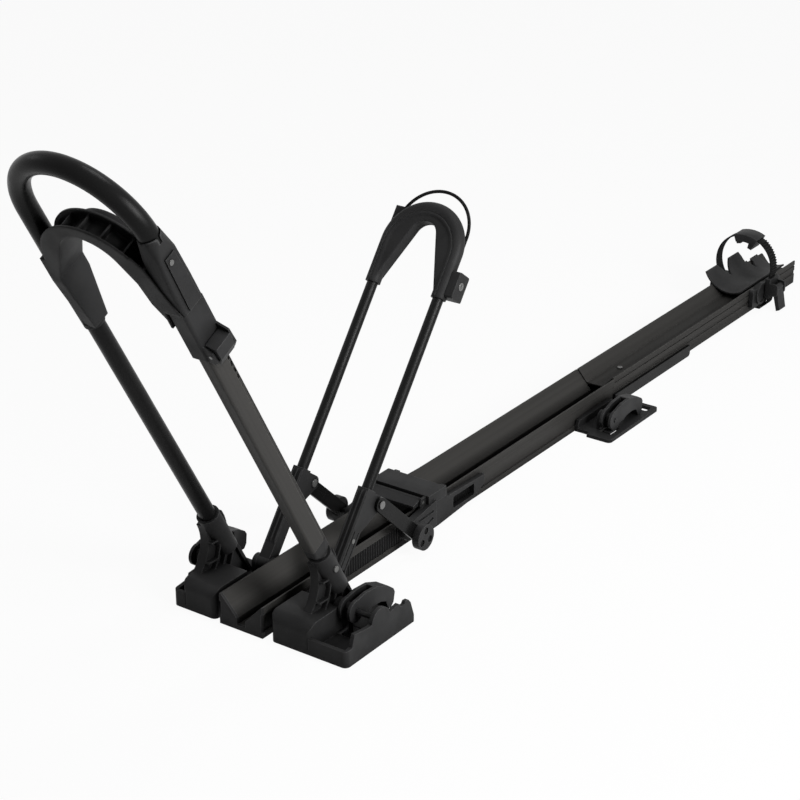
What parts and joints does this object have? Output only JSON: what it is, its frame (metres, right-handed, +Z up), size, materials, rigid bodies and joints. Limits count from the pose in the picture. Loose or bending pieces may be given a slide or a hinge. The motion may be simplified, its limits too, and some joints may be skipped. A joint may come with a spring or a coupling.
{
  "type": "roof mounted bike carrier",
  "caption": "Black roof bike carrier: long trough rail on a clamp base, tall leaning front wheel hoop with hand loop, folding rear hoop on struts, rear tray with strap and cam levers.",
  "frame": {"origin": "On the rubber pads' underside, on the rail's centreline, midway along the base.", "axes": "+X along the rail to the front hoop, +Y to the side with the wide clamp tray, +Z up."},
  "size_m": [1.9613, 0.329, 0.7693],
  "materials": {
    "plastic": "satin, fine texture",
    "anodised": "black anodised satin",
    "tube": "black satin powder coat",
    "rubber": "matte black",
    "steel": "zinc plated"
  },
  "bodies": {
    "base": {"near_foot": "plastic", "far_foot": "plastic", "rail_end_cap": "plastic", "front_rail": "anodised", "ratchet_racks": "plastic", "rear_tray": "anodised", "tray_joiner": "tube", "joiner_screws": "steel", "tray_end_cap": "plastic", "near_leg": "anodised", "near_leg_cap": "plastic", "far_leg": "tube", "base_screws": "steel", "base_pads": "rubber", "hoop_hinge_pins": "steel", "front_clamp_pins": "steel"},
    "front_hoop": {"loop_tube": "tube", "front_saddle": "plastic", "ratchet_housing": "plastic", "loop_collar": "plastic", "collar_cover": "plastic", "collar_screw": "steel", "release_pin": "steel", "release_spring": "steel"},
    "hoop_release": {"hoop_release_lever": "plastic"},
    "rear_hoop": {"rear_hoop_tube": "tube", "inner_arch_shell": "plastic", "outer_arch_shell": "plastic", "near_bracket": "plastic", "far_bracket": "plastic", "bracket_screws": "steel", "strut_pins": "steel", "lock_box": "plastic", "lock_cable": "rubber"},
    "lock_core": {"lock_barrel": "steel"},
    "near_link": {"near_strut": "tube"},
    "far_link": {"far_strut": "tube"},
    "near_grip": {"near_knob": "plastic"},
    "far_grip": {"far_knob": "plastic"},
    "slider": {"slider_saddle": "plastic", "lip_pin": "steel", "lip_spring": "steel"},
    "slider_release": {"slider_release_lip": "plastic"},
    "near_catch": {"near_pawl": "steel"},
    "far_catch": {"far_pawl": "steel"},
    "near_lever": {"near_cam_lever": "plastic"},
    "far_lever": {"far_cam_lever": "plastic"},
    "near_bolt": {"near_clamp_bolt": "steel"},
    "far_bolt": {"far_clamp_bolt": "steel"},
    "back_clamp": {"rear_clamp": "plastic", "rear_clamp_pin": "steel", "rear_clamp_pad": "rubber"},
    "back_lever": {"rear_cam_lever": "plastic"},
    "back_bolt": {"rear_clamp_bolt": "steel"},
    "carriage": {"strap_carriage": "plastic", "wheel_cradle": "plastic", "tyre_strap": "rubber", "strap_pad": "plastic", "buckle_body": "plastic"},
    "buckle": {"buckle_lever": "plastic"}
  },
  "joints": [
    {"name": "hoop_height", "type": "slide", "parent": "base", "child": "front_hoop", "axis": [-0.4894, 0, -0.8721], "range_m": [0, 0.085]},
    {"name": "hoop_release_tab", "type": "hinge", "parent": "front_hoop", "child": "hoop_release", "pos_m": [0.24177, 0.1178, 0.51207], "axis": [-0.8721, 0, 0.4894], "range_deg": [0, 12], "stiffness_Nm_per_rad": 0.3, "springref_deg": -10},
    {"name": "rear_hoop_fold", "type": "hinge", "parent": "base", "child": "rear_hoop", "pos_m": [-0.049, 0, 0.031], "axis": [0, 1, 0], "range_deg": [-20, 3]},
    {"name": "lock_turn", "type": "hinge", "parent": "rear_hoop", "child": "lock_core", "pos_m": [-0.33523, 0.082, 0.39755], "axis": [0, 1, 0], "range_deg": [0, 90]},
    {"name": "near_strut_turn", "type": "hinge", "parent": "rear_hoop", "child": "near_link", "pos_m": [-0.1528, 0.0703, 0.12057], "axis": [0, 1, 0], "range_deg": [-6.4, 41.7]},
    {"name": "far_strut_turn", "type": "hinge", "parent": "rear_hoop", "child": "far_link", "pos_m": [-0.1528, -0.0703, 0.12057], "axis": [0, 1, 0], "range_deg": [-6.4, 41.7]},
    {"name": "near_knob_turn", "type": "hinge", "parent": "near_link", "child": "near_grip", "pos_m": [-0.247, 0.08, 0.031], "axis": [0, 1, 0], "continuous": true},
    {"name": "far_knob_turn", "type": "hinge", "parent": "far_link", "child": "far_grip", "pos_m": [-0.247, -0.08, 0.031], "axis": [0, 1, 0], "continuous": true},
    {"name": "slider_travel", "type": "slide", "parent": "base", "child": "slider", "axis": [1, 0, 0], "range_m": [-0.0525, 0.008]},
    {"name": "slider_lip", "type": "hinge", "parent": "slider", "child": "slider_release", "pos_m": [-0.294, 0, 0.058], "axis": [0, -1, 0], "range_deg": [0, 20], "stiffness_Nm_per_rad": 0.3, "springref_deg": -10},
    {"name": "near_pawl_draw", "type": "slide", "parent": "slider", "child": "near_catch", "axis": [0, 1, 0], "range_m": [0, 0.002]},
    {"name": "far_pawl_draw", "type": "slide", "parent": "slider", "child": "far_catch", "axis": [0, -1, 0], "range_m": [0, 0.002]},
    {"name": "near_lever_open", "type": "hinge", "parent": "base", "child": "near_lever", "pos_m": [0.002, 0.1315, 0.042], "axis": [0, 1, 0], "range_deg": [0, 110]},
    {"name": "far_lever_open", "type": "hinge", "parent": "base", "child": "far_lever", "pos_m": [0.002, -0.1355, 0.042], "axis": [0, 1, 0], "range_deg": [0, 110]},
    {"name": "near_bolt_drop", "type": "slide", "parent": "base", "child": "near_bolt", "axis": [0, 0, -1], "range_m": [0, 0.003]},
    {"name": "far_bolt_drop", "type": "slide", "parent": "base", "child": "far_bolt", "axis": [0, 0, -1], "range_m": [0, 0.003]},
    {"name": "back_clamp_slide", "type": "slide", "parent": "base", "child": "back_clamp", "axis": [1, 0, 0], "range_m": [0, 0.2]},
    {"name": "back_lever_open", "type": "hinge", "parent": "back_clamp", "child": "back_lever", "pos_m": [-0.774, 0.089, 0.026], "axis": [0, 1, 0], "range_deg": [0, 110]},
    {"name": "back_bolt_drop", "type": "slide", "parent": "back_clamp", "child": "back_bolt", "axis": [0, 0, -1], "range_m": [0, 0.003]},
    {"name": "carriage_slide", "type": "slide", "parent": "base", "child": "carriage", "axis": [1, 0, 0], "range_m": [-0.015, 0.22]},
    {"name": "buckle_lift", "type": "hinge", "parent": "carriage", "child": "buckle", "pos_m": [-1.43, 0.06787, 0.046], "axis": [1, 0, 0], "range_deg": [0, 95]}
  ],
  "couplings": [
    {"joint": "near_strut_turn", "follows": "rear_hoop_fold", "ratio": -2.08},
    {"joint": "far_strut_turn", "follows": "rear_hoop_fold", "ratio": -2.08},
    {"joint": "slider_travel", "follows": "rear_hoop_fold", "m_per_rad": 0.15},
    {"joint": "near_pawl_draw", "follows": "slider_lip", "m_per_rad": 0.0057296},
    {"joint": "far_pawl_draw", "follows": "slider_lip", "m_per_rad": 0.0057296},
    {"joint": "near_bolt_drop", "follows": "near_lever_open", "m_per_rad": 0.0015626},
    {"joint": "far_bolt_drop", "follows": "far_lever_open", "m_per_rad": 0.0015626},
    {"joint": "back_bolt_drop", "follows": "back_lever_open", "m_per_rad": 0.0015626}
  ]
}
